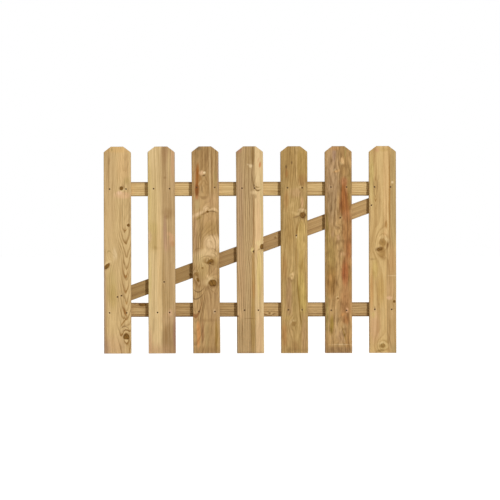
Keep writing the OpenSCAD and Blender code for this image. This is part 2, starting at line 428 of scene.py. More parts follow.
pale_3 = Board(
    **pale_facts("pale_3"), early=tone(190, 154, 102), late=tone(122, 84, 38),
    pith=(-32, 12), ring=8.5, taper=-1 / 36, wander=0.3, wave=6, lines=0.5, fade=(215, 260),
    figure=(-28, 20), streaks=0.5, mottle=0.25, seed=3,
    knots=[
        Knot(-5, 562, 9, long=3.0, dark=0.0, swell=3.0, reach=1.2, painted_highlight=0.0),
        Knot(7, 481, 3.6, dark=1.0, swell=2.2, reach=2.4, painted_highlight=0.4, lit=0),
        Knot(16, 312, 9, long=0.8, turn=-20, dark=0.6, swell=4.2, reach=1.8, painted_highlight=0.5, lit=-10),
        Knot(22, 238, 14.5, long=0.84, turn=15, dark=0.85, swell=4.6, reach=1.6, painted_highlight=0.5, lit=-60),
        Knot(-33, 268, 8, dark=0.25, swell=1.6, reach=1.5, painted_highlight=0.3),
        Knot(-28, 250, 4.2, long=1.8, turn=-25, dark=0.7, swell=0.6, painted_highlight=0.2),
        Knot(-12, 290, 3.8, dark=0.4, swell=0.8, painted_highlight=0.2),
        Knot(14, 372, 20, long=0.8, dark=0.0, swell=3.5, reach=1.2, painted_highlight=0.0),
    ],
    stains_and_shade=[
        StainAndShade(8, 652, 34, 56, tone(166, 129, 80), 0.7, 0.6, 0.3),
        StainAndShade(10, 560, 16, 40, tone(168, 130, 78), 0.6, 0.6, 0.3),
        StainAndShade(-10, 650, 2.4, 40, UMBER, 0.6, 0.6, 0.2, 2),
        StainAndShade(0, 655, 1.6, 34, UMBER, 0.5, 0.6, 0.2),
        StainAndShade(7, 672, 1.8, 26, UMBER, 0.6, 0.6, 0.2),
        StainAndShade(24, 600, 2.4, 90, UMBER, 0.4, 0.6, 0.2),
        StainAndShade(-27, 592, 7, 52, tone(158, 98, 40), 1.0, 0.4, 0.28),
        StainAndShade(-34, 600, 4, 40, tone(186, 146, 100), 0.6, 0.6, 0.2),
        StainAndShade(-18, 588, 7, 18, tone(166, 118, 62), 0.7, 0.6, 0.3),
        StainAndShade(-28, 550, 7, 20, tone(136, 80, 30), 0.9, 0.5, 0.35),
        StainAndShade(-28, 527, 5, 7, tone(190, 126, 78), 0.7, 0.6, 0.3),
        StainAndShade(-27, 504, 8, 18, tone(196, 168, 114), 0.75, 0.6, 0.25),
        StainAndShade(-12, 612, 7, 6.5, tone(224, 182, 136), 0.9, 0.6, 0.3, -30),
        StainAndShade(-2, 613, 4.5, 3.5, CREAM, 0.85, 0.6, 0.3),
        StainAndShade(-4, 603, 5, 2.2, PEAT, 0.75, 0.6, 0.3, -12),
        StainAndShade(-18, 578, 9, 3.0, STRAW, 0.5, 0.6, 0.3, -60),
        StainAndShade(-11, 556, 1.6, 12, PEAT, 0.55, 0.6, 0.2),
        StainAndShade(0, 576, 1.3, 16, UMBER, 0.5, 0.6, 0.2),
        StainAndShade(5, 590, 2.0, 10, UMBER, 0.5, 0.6, 0.2, -18),
        StainAndShade(16.5, 625, 3.0, 100, tone(206, 172, 122), 0.85, 0.4, 0.06),
        StainAndShade(30, 650, 1.3, 60, STRAW, 0.4, 0.6),
        StainAndShade(36, 592, 7, 24, OLIVE, 0.5, 0.7),
        StainAndShade(44, 610, 3, 60, MAUVE, 0.7, 0.6),
        StainAndShade(-24, 680, 16, 14, UMBER, 0.3, 0.7, 0.3),
        StainAndShade(-28, 697, 16, 7, tone(126, 104, 74), 0.8, 0.7, 0.3),
        StainAndShade(-5, 527, 14, 5, UMBER, 0.6, 0.6, 0.3, 0, 5),
        StainAndShade(24, 515, 20, 22, tone(204, 164, 116), 0.55, 0.7, 0.25),
        StainAndShade(-26, 472, 22, 5, tone(218, 184, 136), 0.95, 0.6, 0.2, -26),
        StainAndShade(0, 492, 9, 7, tone(220, 184, 136), 0.9, 0.6, 0.3, -45),
        StainAndShade(29, 489, 15, 4.6, tone(224, 188, 138), 0.95, 0.6, 0.2, 8, -5),
        StainAndShade(-22, 459, 11, 3.6, tone(158, 128, 70), 0.85, 0.6, 0.3, -30),
        StainAndShade(-4, 474, 12, 2.4, tone(146, 110, 60), 0.75, 0.6, 0.3, -24),
        StainAndShade(24, 482, 16, 1.8, PEAT, 0.6, 0.6, 0.25, 6, -5),
        StainAndShade(14, 455, 22, 18, tone(198, 158, 106), 0.6, 0.7, 0.25),
        StainAndShade(20, 422, 24, 28, tone(168, 132, 78), 0.7, 0.5, 0.16),
        StainAndShade(-13, 405, 5, 50, tone(150, 116, 64), 0.45, 0.6, 0.2),
        StainAndShade(-18, 408, 1.5, 46, PEAT, 0.5, 0.6),
        StainAndShade(-36, 410, 7, 60, tone(190, 150, 110), 0.5, 0.6, 0.2),
        StainAndShade(22, 374, 26, 24, tone(222, 188, 140), 0.9, 0.5, 0.2, -20),
        StainAndShade(0, 342, 44, 12, tone(220, 187, 136), 0.85, 0.6, 0.2, 0, -14),
        StainAndShade(-20, 316, 24, 18, tone(216, 186, 130), 0.85, 0.6, 0.25),
        StainAndShade(-16, 280, 18, 26, tone(204, 172, 112), 0.7, 0.6, 0.25),
        StainAndShade(4, 330, 22, 1.7, UMBER, 0.5, 0.6, 0.15, 0, -9),
        StainAndShade(30, 352, 12, 1.5, UMBER, 0.5, 0.6, 0.15, 30, -4),
        StainAndShade(31, 336, 12, 1.6, UMBER, 0.5, 0.6, 0.15, 36, -4),
        StainAndShade(-30, 355, 10, 1.6, UMBER, 0.4, 0.6, 0.2, -20, -4),
        StainAndShade(32, 312, 9, 16, tone(184, 150, 92), 0.5, 0.7, 0.3),
        StainAndShade(10, 312, 20, 9, tone(144, 104, 48), 0.75, 0.7, 0.45, 10),
        StainAndShade(12, 304, 14, 3.0, tone(132, 92, 30), 0.7, 0.6, 0.3, 18),
        StainAndShade(10, 284, 1.7, 18, UMBER, 0.8, 0.6, 0.2, 2),
        StainAndShade(17, 284, 1.5, 18, UMBER, 0.6, 0.6, 0.2, -3),
        StainAndShade(28, 278, 8, 14, tone(176, 138, 92), 0.6, 0.7, 0.3),
        StainAndShade(8, 258, 10, 4.5, tone(220, 184, 132), 0.8, 0.6, 0.25, 50),
        StainAndShade(-6, 240, 12, 8, tone(206, 172, 120), 0.6, 0.6, 0.25),
        StainAndShade(6, 222, 9, 7, UMBER, 0.6, 0.7, 0.3, -40),
        StainAndShade(-30, 236, 2.2, 16, tone(150, 104, 50), 0.6, 0.6, 0.2, -20),
        StainAndShade(-27, 208, 24, 2.0, tone(128, 98, 60), 0.85, 0.5, 0.1, 0, 20),
        StainAndShade(-36, 184, 34, 2.2, tone(126, 98, 62), 0.85, 0.5, 0.1, 0, 30),
        StainAndShade(-36, 126, 27, 7.0, tone(142, 92, 48), 0.85, 0.5, 0.1, 0, 76),
        StainAndShade(-12, 155, 2.0, 56, tone(132, 96, 54), 0.75, 0.5, 0.1, 11),
        StainAndShade(-4, 168, 1.6, 46, tone(132, 96, 54), 0.6, 0.5, 0.1, 12),
        StainAndShade(23, 165, 25, 62, tone(182, 146, 98), 0.92, 0.3, 0.06),
        StainAndShade(-28, 66, 7, 46, ORANGE, 0.85, 0.4, 0.14),
        StainAndShade(-36, 66, 4, 40, tone(190, 156, 104), 0.6, 0.5, 0.1),
        StainAndShade(-14, 76, 4, 40, tone(150, 106, 66), 0.8, 0.5, 0.1),
        StainAndShade(1, 56, 8, 46, tone(178, 148, 96), 0.7, 0.5, 0.1),
        StainAndShade(12, 60, 3, 50, tone(160, 126, 76), 0.6, 0.5, 0.1),
        StainAndShade(33, 56, 5, 54, tone(158, 122, 56), 0.8, 0.5, 0.1),
        StainAndShade(42, 56, 3, 54, tone(176, 142, 88), 0.6, 0.5, 0.1),
        StainAndShade(8, 112, 30, 5, UMBER, 0.3, 0.7, 0.2),
        StainAndShade(0, 10, 60, 12, UMBER, 0.3, 0.7),
        StainAndShade(27, 142, 4, 7, tone(210, 178, 134), 0.8, 0.7, 0.3),
    ],
)
pale_4 = Board(
    **pale_facts("pale_4"), early=tone(193, 161, 113), late=tone(140, 106, 62),
    pith=(-90, 26), ring=6.2, taper=0.001, wander=0.25, wave=3, lines=0.85, figure=(-24, 36),
    streaks=0.4, seed=4,
    knots=[
        Knot(22, 566, 9, long=1.5, dark=0.0, swell=2.0, reach=1.2, painted_highlight=0.0),
        Knot(42, 362, 8, long=1.2, turn=30, dark=1.0, swell=1.4, painted_highlight=0.7, lit=-70),
        Knot(10, 346, 5, dark=0.0, swell=1.4, painted_highlight=0.5),
    ],
    stains_and_shade=[
        StainAndShade(60, 350, 42.5, 2500, tone(218, 186, 134), 0.97, 0.03, 0.015),
        StainAndShade(26, 640, 6, 60, tone(230, 198, 146), 0.6, 0.6),
        StainAndShade(40, 430, 4, 200, tone(196, 170, 110), 0.5, 0.6),
        StainAndShade(28, 410, 9, 120, tone(230, 190, 140), 0.7, 0.5),
        StainAndShade(30, 270, 7, 90, tone(218, 190, 120), 0.7, 0.5),
        StainAndShade(30, 60, 10, 80, tone(222, 184, 136), 0.7, 0.5),
        StainAndShade(14, 440, 3, 100, tone(176, 136, 84), 0.7, 0.5),
        StainAndShade(11, 250, 6, 110, tone(178, 136, 72), 0.7, 0.5, 0.08),
        StainAndShade(9, 90, 8, 100, tone(172, 138, 76), 0.75, 0.4, 0.06),
        StainAndShade(12, 215, 4, 26, RUST, 0.3, 0.7),
        StainAndShade(-34, 500, 13, 150, tone(184, 148, 112), 0.5, 0.6),
        StainAndShade(-30, 260, 14, 120, tone(194, 156, 112), 0.5, 0.6),
        StainAndShade(11, 672, 6, 34, tone(158, 124, 70), 0.8, 0.5, 0.1),
        StainAndShade(-6, 660, 6, 40, tone(178, 144, 92), 0.5, 0.6, 0.1),
        StainAndShade(4, 635, 6.5, 5.5, tone(238, 210, 162), 0.95, 0.6, 0.25),
        StainAndShade(-5, 640, 4, 3, CREAM, 0.6, 0.6, 0.3),
        StainAndShade(30, 655, 2, 10, tone(210, 160, 116), 0.6, 0.6, 0.3, 14),
        StainAndShade(35, 639, 3.6, 9, tone(196, 128, 78), 0.85, 0.5, 0.2, 8),
        StainAndShade(12, 580, 2.2, 22, tone(132, 100, 52), 0.75, 0.5, 0.12, -4),
        StainAndShade(18, 588, 1.8, 14, UMBER, 0.6, 0.6, 0.15, 4),
        StainAndShade(26, 552, 11, 3.0, tone(132, 98, 46), 0.85, 0.5, 0.15, 10, 5),
        StainAndShade(25, 563, 9, 2.4, tone(150, 116, 62), 0.75, 0.5, 0.15, 16, 3),
        StainAndShade(16, 568, 3, 5, PEAT, 0.6, 0.6, 0.2),
        StainAndShade(12, 545, 8, 6, tone(232, 200, 150), 0.8, 0.6, 0.25),
        StainAndShade(20, 531, 3, 6, UMBER, 0.45, 0.6, 0.3),
        StainAndShade(28, 590, 8, 14, tone(228, 198, 146), 0.6, 0.6, 0.2),
        StainAndShade(29, 374, 8, 8, tone(230, 202, 144), 0.7, 0.6, 0.3, -30),
        StainAndShade(31, 352, 6, 2.4, UMBER, 0.5, 0.6, 0.3, -30),
        StainAndShade(8, 350, 4, 8, tone(216, 192, 120), 0.8, 0.6, 0.3),
        StainAndShade(13, 344, 2.6, 8, UMBER, 0.6, 0.6, 0.3),
        StainAndShade(-2, 118, 18, 1.4, UMBER, 0.5, 0.6),
        StainAndShade(-36, 130, 10, 14, tone(214, 176, 126), 0.6, 0.7),
        StainAndShade(-40, 40, 10, 60, tone(172, 142, 100), 0.5, 0.6),
        StainAndShade(-37, 692, 10, 12, tone(196, 146, 116), 0.8, 0.6),
        StainAndShade(-44, 126, 5, 2.4, tone(96, 62, 20), 0.9, 0.5),
        StainAndShade(-28, 80, 1.6, 30, UMBER, 0.4, 0.6),
        StainAndShade(0, 0, 70, 5, UMBER, 0.3, 0.8),
    ],
    nicks=[(-43, 125, 2.2)],
)
pale_5 = Board(
    **pale_facts("pale_5"), early=tone(189, 155, 98), late=tone(134, 100, 44),
    pith=(-50, 40), ring=5.5, taper=-1 / 200, wander=0.4, wave=6, lines=0.45, streaks=0.35,
    mottle=0.36, seed=5,
    knots=[
        Knot(29, 468, 10, dark=1.0, swell=2.4, reach=1.8, painted_highlight=0.6, lit=-20),
        Knot(20, 556, 6, dark=0.0, swell=1.6, painted_highlight=0.3),
        Knot(-3, 100, 8, dark=0.15, swell=2.4, reach=1.8, painted_highlight=0.4),
        Knot(-8, 262, 5, dark=0.0, swell=1.6, painted_highlight=0.4),
    ],
    stains_and_shade=[
        StainAndShade(-16, 640, 30, 70, tone(166, 130, 74), 0.7, 0.5),
        StainAndShade(28, 640, 18, 60, tone(178, 142, 78), 0.7, 0.2, 0.08),
        StainAndShade(28, 586, 14, 20, tone(168, 120, 68), 0.5, 0.6, 0.2),
        StainAndShade(9.5, 650, 2.6, 56, tone(204, 168, 110), 0.9, 0.4, 0.06),
        StainAndShade(-26, 632, 3, 6, PEAT, 0.7, 0.6, 0.3),
        StainAndShade(-8, 646, 2.4, 5, PEAT, 0.6, 0.6, 0.3),
        StainAndShade(-25, 610, 4, 14, tone(160, 104, 48), 0.6, 0.6, 0.3),
        StainAndShade(-26, 520, 8, 30, tone(178, 126, 70), 0.5, 0.6, 0.25),
        StainAndShade(-38, 520, 5, 140, tone(148, 118, 68), 0.6, 0.6, 0.1),
        StainAndShade(6, 544, 22, 14, tone(192, 154, 108), 0.65, 0.6, 0.3),
        StainAndShade(28, 512, 4.4, 19, tone(222, 178, 128), 0.9, 0.4, 0.2),
        StainAndShade(26, 488, 12, 4, tone(224, 188, 138), 0.9, 0.6, 0.25, 0, -3),
        StainAndShade(-8, 504, 10, 7, tone(208, 174, 116), 0.6, 0.6, 0.3, -30),
        StainAndShade(4, 474, 14, 4.5, tone(208, 174, 116), 0.75, 0.6, 0.25, 22),
        StainAndShade(8, 463, 12, 3, UMBER, 0.6, 0.6, 0.3, -20),
        StainAndShade(43, 500, 3, 40, tone(140, 112, 66), 0.6, 0.6),
        StainAndShade(-16, 410, 16, 60, tone(172, 134, 74), 0.5, 0.6, 0.2),
        StainAndShade(25, 385, 16, 62, tone(204, 170, 104), 0.95, 0.15, 0.06),
        StainAndShade(25, 285, 12, 60, tone(196, 162, 94), 0.85, 0.3, 0.12),
        StainAndShade(26, 200, 13, 70, tone(198, 168, 94), 0.85, 0.3, 0.08, -4),
        StainAndShade(9, 415, 2.6, 26, tone(138, 98, 36), 0.8, 0.6, 0.2, 4),
        StainAndShade(8, 396, 2, 6, CREAM, 0.7, 0.6, 0.3),
        StainAndShade(7, 330, 3, 44, tone(152, 114, 50), 0.6, 0.6, 0.2),
        StainAndShade(26, 300, 3, 22, tone(160, 122, 56), 0.6, 0.7, 0.3, 8),
        StainAndShade(34, 388, 2.4, 12, UMBER, 0.5, 0.7, 0.3),
        StainAndShade(13, 210, 2.8, 56, tone(140, 106, 42), 0.85, 0.5, 0.16, -4),
        StainAndShade(19, 126, 2.4, 30, tone(140, 106, 42), 0.8, 0.6, 0.2, -6),
        StainAndShade(27, 140, 3, 24, UMBER, 0.5, 0.6, 0.25, -6),
        StainAndShade(-32, 290, 9, 40, tone(168, 118, 60), 0.5, 0.7, 0.3),
        StainAndShade(-18, 190, 12, 60, tone(176, 136, 98), 0.6, 0.6, 0.15),
        StainAndShade(0, 200, 9, 66, tone(172, 142, 84), 0.6, 0.6, 0.15),
        StainAndShade(-12, 250, 12, 5, UMBER, 0.5, 0.6, 0.3, 20),
        StainAndShade(-5, 262, 4.4, 12, tone(220, 184, 128), 0.85, 0.6, 0.3, 20),
        StainAndShade(-34, 62, 9, 40, tone(172, 118, 64), 0.65, 0.6, 0.2),
        StainAndShade(-14, 70, 10, 50, tone(190, 154, 102), 0.5, 0.6, 0.2),
        StainAndShade(34, 60, 9, 60, tone(190, 150, 106), 0.6, 0.6, 0.2),
        StainAndShade(2, 24, 12, 16, tone(162, 122, 72), 0.6, 0.6, 0.25),
        StainAndShade(-20, 120, 8, 8, tone(202, 168, 104), 0.6, 0.6, 0.3),
        StainAndShade(-8, 10, 60, 8, UMBER, 0.3, 0.8),
    ],
)
pale_6 = Board(
    **pale_facts("pale_6"), early=tone(187, 149, 96), late=tone(126, 90, 42),
    pith=(10, 34), ring=4.6, taper=1 / 130, wander=0.8, wave=7, lines=0.35, streaks=0.55,
    mottle=0.68, seed=6,
    knots=[
        Knot(12, 655, 6, long=1.5, dark=0.0, swell=1.8, painted_highlight=0.3, lit=180),
        Knot(-6, 617, 6, dark=0.0, swell=1.8, painted_highlight=0.3),
        Knot(-3, 186, 3.6, dark=0.5, swell=0.8, painted_highlight=0.5),
        Knot(-2, 415, 9, dark=0.0, swell=2.6, painted_highlight=0.2),
        Knot(18, 72, 9, long=1.6, dark=0.0, swell=2.4, painted_highlight=0.2),
    ],
    stains_and_shade=[
        StainAndShade(-20, 590, 22, 130, tone(182, 148, 110), 0.7, 0.6, 0.2),
        StainAndShade(-14, 676, 6, 22, tone(180, 144, 120), 0.7, 0.6, 0.2),
        StainAndShade(-12, 694, 14, 6, tone(206, 152, 92), 0.6, 0.7, 0.3),
        StainAndShade(18, 640, 12, 60, tone(158, 118, 66), 0.6, 0.6, 0.3),
        StainAndShade(25, 680, 3, 22, OLIVE, 0.75, 0.5, 0.2, 4),
        StainAndShade(9, 664, 2.5, 14, PEAT, 0.4, 0.6, 0.3),
        StainAndShade(14, 652, 4, 10, tone(222, 180, 124), 0.85, 0.6, 0.3, -10),
        StainAndShade(-5, 617, 10, 4, tone(216, 168, 108), 0.75, 0.6, 0.3, -12),
        StainAndShade(18, 580, 13, 15, tone(184, 126, 80), 0.9, 0.5, 0.35),
        StainAndShade(18, 552, 10.5, 23, tone(158, 95, 42), 0.9, 0.5, 0.35),
        StainAndShade(27, 552, 3, 16, tone(196, 142, 92), 0.8, 0.6, 0.25),
        StainAndShade(22, 508, 19, 42, tone(162, 99, 47), 0.95, 0.4, 0.35),
        StainAndShade(14, 488, 5, 16, tone(140, 84, 30), 0.7, 0.6, 0.3),
        StainAndShade(28, 462, 13, 18, tone(180, 120, 76), 0.75, 0.6, 0.35),
        StainAndShade(37, 560, 7, 60, tone(152, 120, 62), 0.7, 0.6, 0.15),
        StainAndShade(30, 412, 17, 62, tone(160, 108, 58), 0.8, 0.6, 0.25),
        StainAndShade(34, 350, 8, 30, tone(168, 104, 58), 0.7, 0.6, 0.3),
        StainAndShade(23, 272, 12, 42, tone(168, 94, 50), 0.95, 0.5, 0.3),
        StainAndShade(30, 315, 13, 60, tone(164, 106, 58), 0.6, 0.6, 0.25),
        StainAndShade(38, 250, 5, 50, tone(160, 120, 62), 0.6, 0.6, 0.2),
        StainAndShade(24, 170, 18, 70, tone(172, 122, 74), 0.8, 0.6, 0.2),
        StainAndShade(-2, 512, 3.6, 36, tone(212, 172, 116), 1.0, 0.5, 0.16),
        StainAndShade(3, 462, 3.2, 16, tone(200, 158, 104), 0.8, 0.6, 0.25, -8),
        StainAndShade(-22, 500, 16, 50, tone(170, 138, 96), 0.6, 0.6, 0.2),
        StainAndShade(-38, 420, 4, 60, tone(152, 126, 60), 0.8, 0.6, 0.15),
        StainAndShade(-20, 402, 5, 12, tone(192, 152, 112), 0.7, 0.6, 0.3),
        StainAndShade(0, 392, 6, 10, tone(192, 150, 108), 0.6, 0.6, 0.3),
        StainAndShade(-2, 424, 7, 6, UMBER, 0.6, 0.6, 0.4),
        StainAndShade(-4, 376, 6, 6, UMBER, 0.55, 0.6, 0.4),
        StainAndShade(12, 380, 6, 5, UMBER, 0.5, 0.6, 0.4, 20),
        StainAndShade(8, 346, 10, 5, UMBER, 0.5, 0.6, 0.4),
        StainAndShade(14, 336, 10, 6, tone(194, 150, 104), 0.6, 0.6, 0.4),
        StainAndShade(-26, 320, 18, 80, tone(158, 128, 66), 0.7, 0.6, 0.2),
        StainAndShade(-24, 240, 18, 50, tone(156, 112, 54), 0.75, 0.6, 0.25),
        StainAndShade(-28, 256, 6, 10, tone(190, 142, 84), 0.6, 0.6, 0.4),
        StainAndShade(-9, 200, 1.5, 60, tone(202, 160, 106), 0.8, 0.5, 0.1),
        StainAndShade(0, 186, 6, 6, tone(204, 162, 108), 0.5, 0.6, 0.4),
        StainAndShade(-40, 130, 6, 60, tone(166, 146, 82), 0.6, 0.6, 0.2),
        StainAndShade(-24, 96, 6, 30, tone(152, 122, 48), 0.85, 0.5, 0.2),
        StainAndShade(-8, 100, 6, 44, tone(192, 158, 112), 0.7, 0.6, 0.2),
        StainAndShade(29, 145, 4, 8, tone(230, 178, 132), 0.85, 0.6, 0.4),
        StainAndShade(16, 131, 8, 4, tone(204, 148, 88), 0.7, 0.6, 0.4, -30),
        StainAndShade(26, 112, 10, 14, tone(166, 108, 56), 0.6, 0.6, 0.3),
        StainAndShade(10, 56, 12, 24, tone(180, 142, 102), 0.6, 0.6, 0.3),
        StainAndShade(19, 62, 2.4, 24, tone(144, 112, 44), 0.85, 0.6, 0.3, -16),
        StainAndShade(32, 40, 8, 40, tone(160, 112, 58), 0.5, 0.6, 0.2),
        StainAndShade(8, 29, 30, 1.6, CREAM, 0.45, 0.7, 0.3),
        StainAndShade(0, 10, 60, 12, tone(136, 104, 70), 0.55, 0.6, 0.2),
        StainAndShade(-46, 60, 3, 140, tone(160, 110, 66), 0.5, 0.6),
    ],
)
pale_7 = Board(
    **pale_facts("pale_7"), early=tone(205, 171, 114), late=tone(158, 116, 56),
    pith=(-24, 60), ring=7.5, taper=1 / 400, wander=0.3, wave=4, lines=0.4, streaks=0.3, seed=7,
    knots=[
        Knot(-24, 556, 5, long=5.2, dark=0.0, swell=2.4, reach=1.0, painted_highlight=0.0),
        Knot(0, 376, 12, dark=0.15, swell=3.6, reach=1.7, painted_highlight=0.5, lit=30),
        Knot(-11, 352, 9, long=0.6, turn=-10, dark=0.85, swell=1.2, painted_highlight=0.1),
        Knot(-1, 25, 9.5, long=0.85, dark=0.2, swell=3.6, reach=1.7, painted_highlight=0.4, lit=0),
        Knot(39, 175, 4.2, dark=1.0, swell=0.8, painted_highlight=0.5, lit=-20),
    ],
    stains_and_shade=[
        StainAndShade(36, 540, 13, 190, tone(184, 154, 100), 0.95, 0.1, 0.05),
        StainAndShade(33, 170, 21, 190, tone(185, 150, 98), 0.8, 0.12, 0.05),
        StainAndShade(12, 560, 9, 170, tone(220, 182, 126), 0.7, 0.4, 0.08),
        StainAndShade(23, 540, 2.6, 160, tone(164, 118, 56), 0.85, 0.4, 0.08),
        StainAndShade(33, 560, 1.6, 120, UMBER, 0.35, 0.6),
        StainAndShade(-37, 610, 7, 60, tone(204, 182, 112), 0.6, 0.6, 0.2),
        StainAndShade(-34, 540, 7, 40, tone(206, 178, 116), 0.6, 0.6, 0.2),
        StainAndShade(-18, 690, 8, 8, tone(200, 150, 108), 0.6, 0.6, 0.3),
        StainAndShade(6, 690, 14, 6, tone(192, 156, 90), 0.5, 0.6, 0.3),
        StainAndShade(-17, 570, 1.7, 30, UMBER, 0.5, 0.5, 0.15, 4),
        StainAndShade(-30, 560, 1.7, 32, UMBER, 0.5, 0.5, 0.15, -4),
        StainAndShade(-24, 517, 6, 3.6, tone(156, 112, 50), 0.7, 0.6, 0.2, 0, 14),
        StainAndShade(-11, 500, 1.6, 40, UMBER, 0.4, 0.5, 0.1),
        StainAndShade(12, 437, 3.6, 14, tone(168, 122, 58), 0.8, 0.5, 0.2),
        StainAndShade(-41, 480, 2, 40, UMBER, 0.45, 0.6, 0.2),
        StainAndShade(2, 372, 11, 13, tone(172, 130, 66), 0.7, 0.6, 0.25),
        StainAndShade(16, 368, 3.0, 14, tone(138, 92, 32), 0.75, 0.6, 0.25, 10),
        StainAndShade(10, 402, 8, 9, tone(224, 186, 130), 0.75, 0.6, 0.3, 30),
        StainAndShade(-12, 392, 5, 8, tone(220, 184, 126), 0.6, 0.6, 0.3, -20),
        StainAndShade(-10, 352, 13, 6.5, tone(112, 72, 18), 0.9, 0.6, 0.3, -6),
        StainAndShade(-2, 336, 14, 16, tone(156, 114, 54), 0.75, 0.7, 0.3, -20),
        StainAndShade(26, 370, 2.0, 34, UMBER, 0.5, 0.6, 0.2, -3),
        StainAndShade(16, 352, 2.0, 22, UMBER, 0.45, 0.6, 0.2, 12),
        StainAndShade(30, 310, 14, 50, tone(192, 148, 94), 0.5, 0.6, 0.15),
        StainAndShade(-34, 318, 9, 3, UMBER, 0.45, 0.7, 0.3),
        StainAndShade(11.5, 230, 2.2, 150, tone(218, 180, 120), 0.75, 0.5, 0.06),
        StainAndShade(15, 260, 1.6, 130, UMBER, 0.45, 0.5, 0.1),
        StainAndShade(-26, 285, 10, 30, tone(206, 176, 106), 0.7, 0.6, 0.2),
        StainAndShade(-38, 210, 6, 60, tone(206, 158, 98), 0.7, 0.6, 0.2),
        StainAndShade(-6, 215, 12, 46, tone(194, 156, 90), 0.7, 0.6, 0.2),
        StainAndShade(-32, 128, 6, 10, tone(206, 188, 106), 0.7, 0.6, 0.3),
        StainAndShade(26, 215, 12, 30, tone(204, 164, 114), 0.6, 0.6, 0.2),
        StainAndShade(24, 187, 9, 6, tone(226, 184, 142), 0.75, 0.6, 0.3),
        StainAndShade(-27, 150, 2.2, 8, UMBER, 0.75, 0.6, 0.2),
        StainAndShade(30, 130, 12, 14, tone(204, 168, 116), 0.5, 0.7, 0.3),
        StainAndShade(33, 262, 14, 1.4, CREAM, 0.5, 0.7, 0.2),
        StainAndShade(-28, 90, 18, 50, tone(208, 166, 122), 0.7, 0.6, 0.2),
        StainAndShade(15, 90, 1.5, 60, UMBER, 0.45, 0.6, 0.1),
        StainAndShade(24, 40, 2.0, 30, UMBER, 0.5, 0.6, 0.2, -14),
        StainAndShade(0, 26, 18, 15, tone(196, 168, 106), 0.5, 0.7, 0.3),
        StainAndShade(-1, 24, 8, 7, tone(158, 126, 66), 0.75, 0.6, 0.3),
        StainAndShade(-9, 8, 12, 4, tone(140, 108, 50), 0.7, 0.7, 0.3, -10),
        StainAndShade(40, 8, 12, 20, tone(176, 150, 98), 0.6, 0.7),
        StainAndShade(33, 579, 4, 4, CREAM, 0.8, 0.6, 0.4),
    ],
)
top_rail = Board(
    **rail_facts("top_rail"), early=tone(217, 185, 128), late=tone(170, 130, 72),
    pith=(70, 30), ring=6.5, taper=0.0008, wander=0.3, wave=2, lines=0.7, streaks=0.45, seed=8,
    knots=[Knot(8, 610, 4, dark=0.4, swell=0.8), Knot(-12, 905, 5, dark=0.5)],
    stains_and_shade=[
        StainAndShade(0, 645, 60, 150, tone(204, 172, 116), 0.6, 0.6),
        # The two long strips along this rail's edges are painted shade.
        StainAndShade(-24, 494, 6, 3000, UMBER, 0.5, 0.5),
        StainAndShade(24, 494, 5, 3000, MOSS, 0.4, 0.6),
    ],
)
bottom_rail = Board(
    **rail_facts("bottom_rail"), early=tone(190, 156, 104), late=tone(126, 88, 42),
    pith=(36, 24), ring=5.4, taper=0.0016, wander=0.5, wave=4, lines=0.8, streaks=0.45, seed=9,
    knots=[
        Knot(-19, 128, 6, long=2.2, dark=1.0, swell=2.5, reach=2.0),
        Knot(12, 560, 4, dark=0.35),
    ],
    stains_and_shade=[
        StainAndShade(6, 650, 60, 160, tone(206, 172, 118), 0.7, 0.6),
        StainAndShade(4, 112, 9, 22, STRAW, 0.6, 0.6, 0.3),
        # The two long strips along this rail's edges are painted shade.
        StainAndShade(24, 494, 8, 3000, UMBER, 0.5, 0.5),
        StainAndShade(-24, 494, 4, 3000, UMBER, 0.4, 0.6),
    ],
)
brace = Board(
    **brace_facts("brace"), early=tone(168, 134, 87), late=tone(124, 86, 44),
    pith=(-60, 30), ring=5.2, taper=0.001, wander=0.4, wave=3, lines=0.3, streaks=0.35, seed=10,
    knots=[Knot(10, -220, 4.5, dark=0.5), Knot(-8, 95, 4, dark=0.4)],
    stains_and_shade=[
        StainAndShade(0, -400, 90, 220, tone(160, 130, 78), 0.5, 0.7),
        StainAndShade(0, 420, 90, 240, HONEY, 0.6, 0.7),
    ],
)
boards = [pale_1, pale_2, pale_3, pale_4, pale_5, pale_6, pale_7, top_rail, bottom_rail, brace]
print("boards:", len(boards), "with", sum(len(b.knots) for b in boards), "knots")

# %% [markdown]
# ## The shape of a planed board
# A plank could be a box with a bevel, but its ends here follow dog-ears and slanting
# cuts, its faces carry knots and nail seats, and light must catch all of them. So the
# mesh is a net: columns of points run round the section and rows run up the board, and
# the rows near an end bend until the last one lies along the cut.

# %% The net of a board
CELL = 2.2  # mm between columns on a face
ROW = 2.4  # mm between rows
ARRIS_STEPS = 4
SIDE_STEPS = 4
END_ZONE = 60  # mm of a board's end in which its rows bend to the cut
END_BREAK = (0.7, 0.25, 0.0)  # how far the last rows lie from the cut, in mm


def spread(start, stop, step, stops=()):
    """Even places from start to stop, no further apart than step, that include the stops."""
    marks = sorted({start, stop, *stops})
    runs = [np.linspace(a, b, math.ceil((b - a) / step) + 1)[:-1] for a, b in zip(marks, marks[1:])]
    return np.append(np.concatenate(runs), stop)


